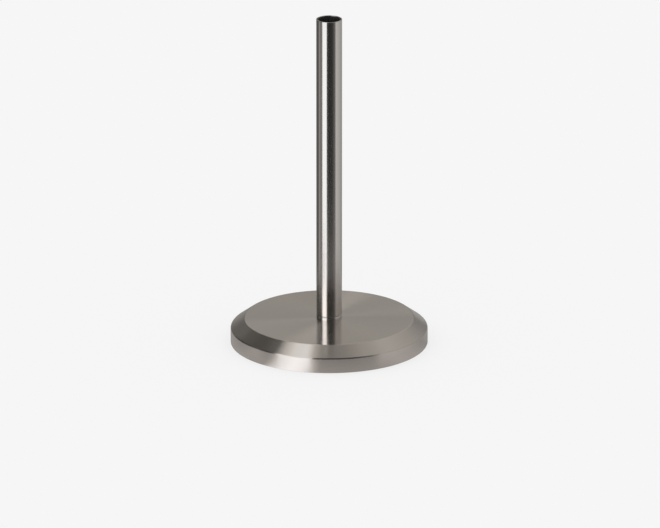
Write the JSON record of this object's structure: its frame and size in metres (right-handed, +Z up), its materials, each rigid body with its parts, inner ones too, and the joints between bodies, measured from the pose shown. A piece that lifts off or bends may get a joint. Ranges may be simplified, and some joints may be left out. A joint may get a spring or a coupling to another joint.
{
  "type": "flag pole stand",
  "caption": "Weighted round floor stand with a bevelled steel cover and an upright open-topped tube that takes a flag pole and clamps it with a thumb screw.",
  "frame": {"origin": "on the floor, at the centre of the round base, level with the undersides of the floor pads", "axes": "+Z up along the tube's axis; +Y towards the thumb screw at the back; +X to the right of someone facing the front"},
  "size_m": [0.246, 0.246, 0.42],
  "materials": {
    "brushed_steel": "turned and brushed stainless steel, fine circular grain, satin gloss",
    "zinc_steel": "zinc-plated steel, dull",
    "cast_iron": "rough casting, unpainted",
    "black_plate": "matt black powder coat",
    "black_rubber": "matt",
    "black_nylon": "satin moulded nylon"
  },
  "bodies": {
    "stand": {"ballast_disc": "cast_iron", "base_cover": "brushed_steel", "bottom_plate": "black_plate", "centre_bolt": "zinc_steel", "clamp_boss": "brushed_steel", "dowel_pin": "zinc_steel", "flat_washer": "zinc_steel", "floor_pad_1": "black_rubber", "floor_pad_2": "black_rubber", "floor_pad_3": "black_rubber", "floor_pad_4": "black_rubber", "floor_pad_5": "black_rubber", "floor_pad_6": "black_rubber", "foot_plug": "zinc_steel", "foot_ring": "brushed_steel", "lock_washer": "zinc_steel", "lower_guide": "black_nylon", "mouth_liner": "black_nylon", "plate_screw_1": "zinc_steel", "plate_screw_2": "zinc_steel", "plate_screw_3": "zinc_steel", "plate_screw_4": "zinc_steel", "pole_rest": "black_rubber", "upright_tube": "brushed_steel"},
    "pressure_pad": {"pressure_pad": "black_nylon"},
    "thumb_screw": {"clamp_screw": "zinc_steel", "clamp_knob": "brushed_steel"}
  },
  "joints": [
    {"name": "pad_slide", "type": "slide", "parent": "stand", "child": "pressure_pad", "axis": [0, -1, 0], "range_m": [0, 0.004]},
    {"name": "screw_turn", "type": "hinge", "parent": "pressure_pad", "child": "thumb_screw", "pos_m": [0, 0.03, 0.385], "axis": [0, -1, 0], "range_deg": [0, 1440]}
  ],
  "couplings": [
    {"joint": "screw_turn", "follows": "pad_slide", "rad_per_m": 6283.2}
  ]
}
